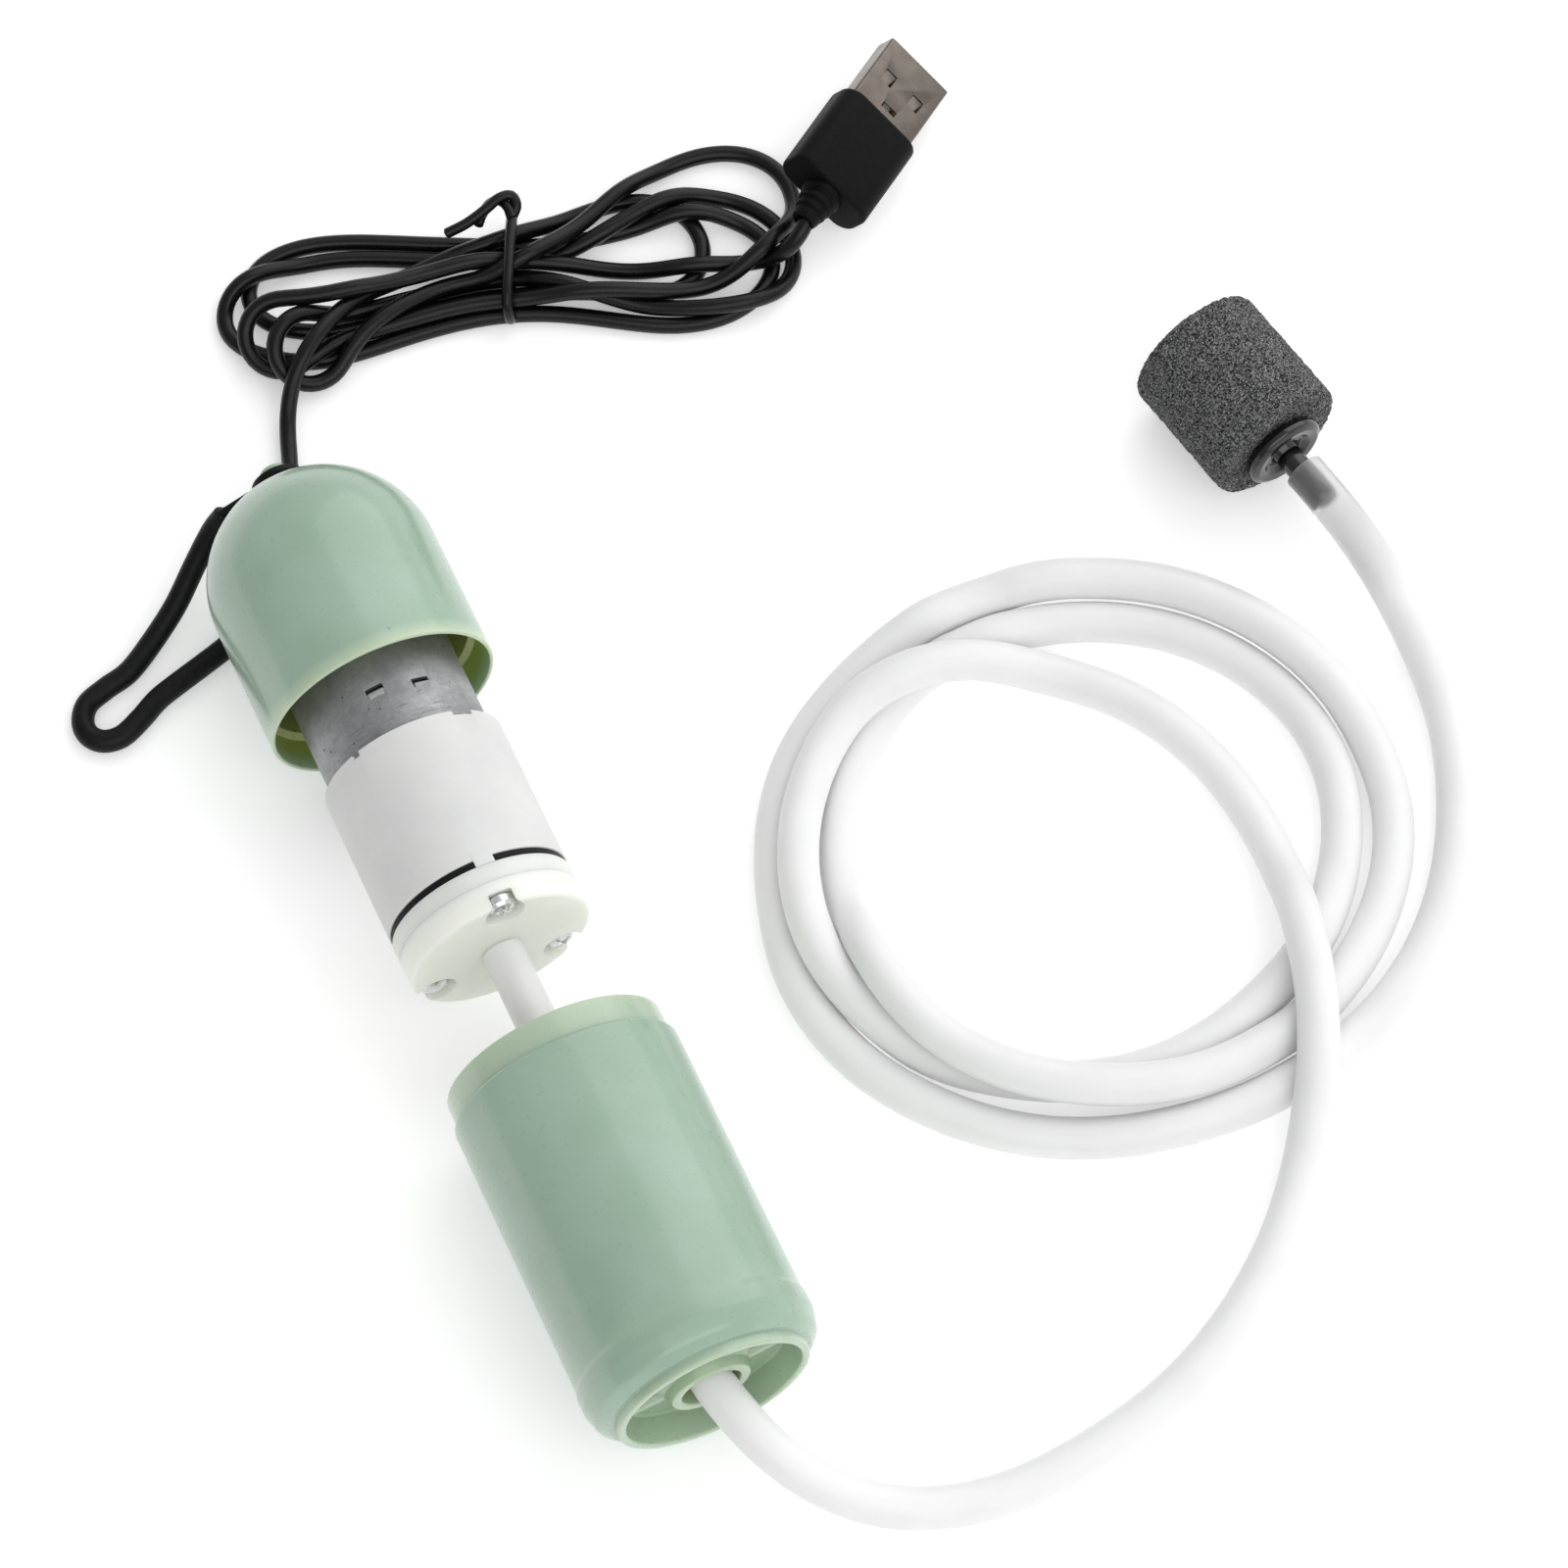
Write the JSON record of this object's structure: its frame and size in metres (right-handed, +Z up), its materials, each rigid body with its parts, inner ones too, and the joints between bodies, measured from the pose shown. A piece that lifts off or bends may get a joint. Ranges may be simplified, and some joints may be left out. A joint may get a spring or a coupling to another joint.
{
  "type": "aquarium air pump",
  "caption": "Slim USB aquarium air pump pulled apart: domed upper cover with hook and cable, motor and diaphragm pump, lower cover, air hose with stone.",
  "frame": {"origin": "on the table surface, under the middle of the box round the pump and its covers, without cords", "axes": "+Y along the pump axis toward the domed upper cover, +Z up, +X to the side where the hose lies"},
  "size_m": [0.1853, 0.2267, 0.034],
  "materials": {
    "green_shell": "moulded, slightly translucent sage green, glossy",
    "black_rubber": "black rubber, satin",
    "black_pvc": "black cable sheath, glossy",
    "black_plastic": "black moulded plastic, satin",
    "coated_wire": "black coated rod, satin",
    "white_plastic": "white engineering plastic, matt",
    "cream_plastic": "milky cream plastic, satin",
    "galvanised": "galvanised sheet, dull",
    "screw_steel": "bright zinc",
    "shaft_steel": "ground",
    "magnet": "ferrite, dull",
    "lamination": "steel laminations",
    "copper": "enamelled copper",
    "bronze": "sintered bronze",
    "carbon": "carbon brush",
    "silicone_hose": "milky translucent silicone, glossy",
    "stone": "sintered mineral grit, rough",
    "usb_metal": "tinned steel, satin",
    "contact_gold": "gold plated",
    "usb_white": "white insulator"
  },
  "bodies": {
    "pump_unit": {"pump_body": "white_plastic", "diaphragm": "black_rubber", "valve_plate": "white_plastic", "outlet_valve": "black_rubber", "valve_head": "cream_plastic", "head_screw_1": "screw_steel", "head_screw_2": "screw_steel", "head_screw_3": "screw_steel", "motor_can": "galvanised", "motor_end_cap": "black_plastic", "motor_terminal_neg": "contact_gold", "motor_terminal_pos": "contact_gold", "motor_brush_neg": "carbon", "motor_brush_pos": "carbon", "motor_magnet_a": "magnet", "motor_magnet_b": "magnet", "motor_bush_front": "bronze", "motor_bush_rear": "bronze", "motor_screw_a": "screw_steel", "motor_screw_b": "screw_steel", "air_hose": "silicone_hose", "air_stone": "stone", "air_stone_fitting": "black_plastic"},
    "upper_cover": {"upper_cover": "green_shell", "cable_grommet": "black_rubber", "usb_cable_lead": "black_pvc", "usb_cable_hank": "black_pvc", "usb_cable_tail": "black_pvc", "usb_plug_overmold": "black_plastic", "usb_plug_shell": "usb_metal", "usb_plug_tongue": "usb_white", "usb_contact_1": "contact_gold", "usb_contact_2": "contact_gold", "usb_contact_3": "contact_gold", "usb_contact_4": "contact_gold", "cable_tie": "black_pvc"},
    "hook": {"hanging_hook": "coated_wire"},
    "lower_cover": {"lower_cover": "green_shell"},
    "rotor": {"motor_shaft": "shaft_steel", "armature_core": "lamination", "armature_winding_a": "copper", "armature_winding_b": "copper", "armature_winding_c": "copper", "commutator": "copper", "crank_hub": "white_plastic", "crank_pin": "shaft_steel"},
    "wobbler": {"wobble_plate": "white_plastic"}
  },
  "joints": [
    {"name": "upper_cover_slide", "type": "slide", "parent": "pump_unit", "child": "upper_cover", "axis": [0, 1, 0], "range_m": [-0.0108, 0.008]},
    {"name": "lower_cover_slide", "type": "slide", "parent": "pump_unit", "child": "lower_cover", "axis": [0, 1, 0], "range_m": [0, 0.053]},
    {"name": "hook_swivel", "type": "hinge", "parent": "upper_cover", "child": "hook", "pos_m": [0.01145, 0.0753, 0.017], "axis": [0, 1, 0], "range_deg": [0, 180]},
    {"name": "motor_spin", "type": "hinge", "parent": "pump_unit", "child": "rotor", "pos_m": [0.01145, 0.0393, 0.017], "axis": [0, 1, 0], "continuous": true},
    {"name": "wobble_turn", "type": "hinge", "parent": "rotor", "child": "wobbler", "pos_m": [0.01145, 0.0038, 0.017], "axis": [0, 0.9945, 0.1045], "continuous": true}
  ],
  "couplings": [
    {"joint": "wobble_turn", "follows": "motor_spin", "ratio": -1}
  ]
}
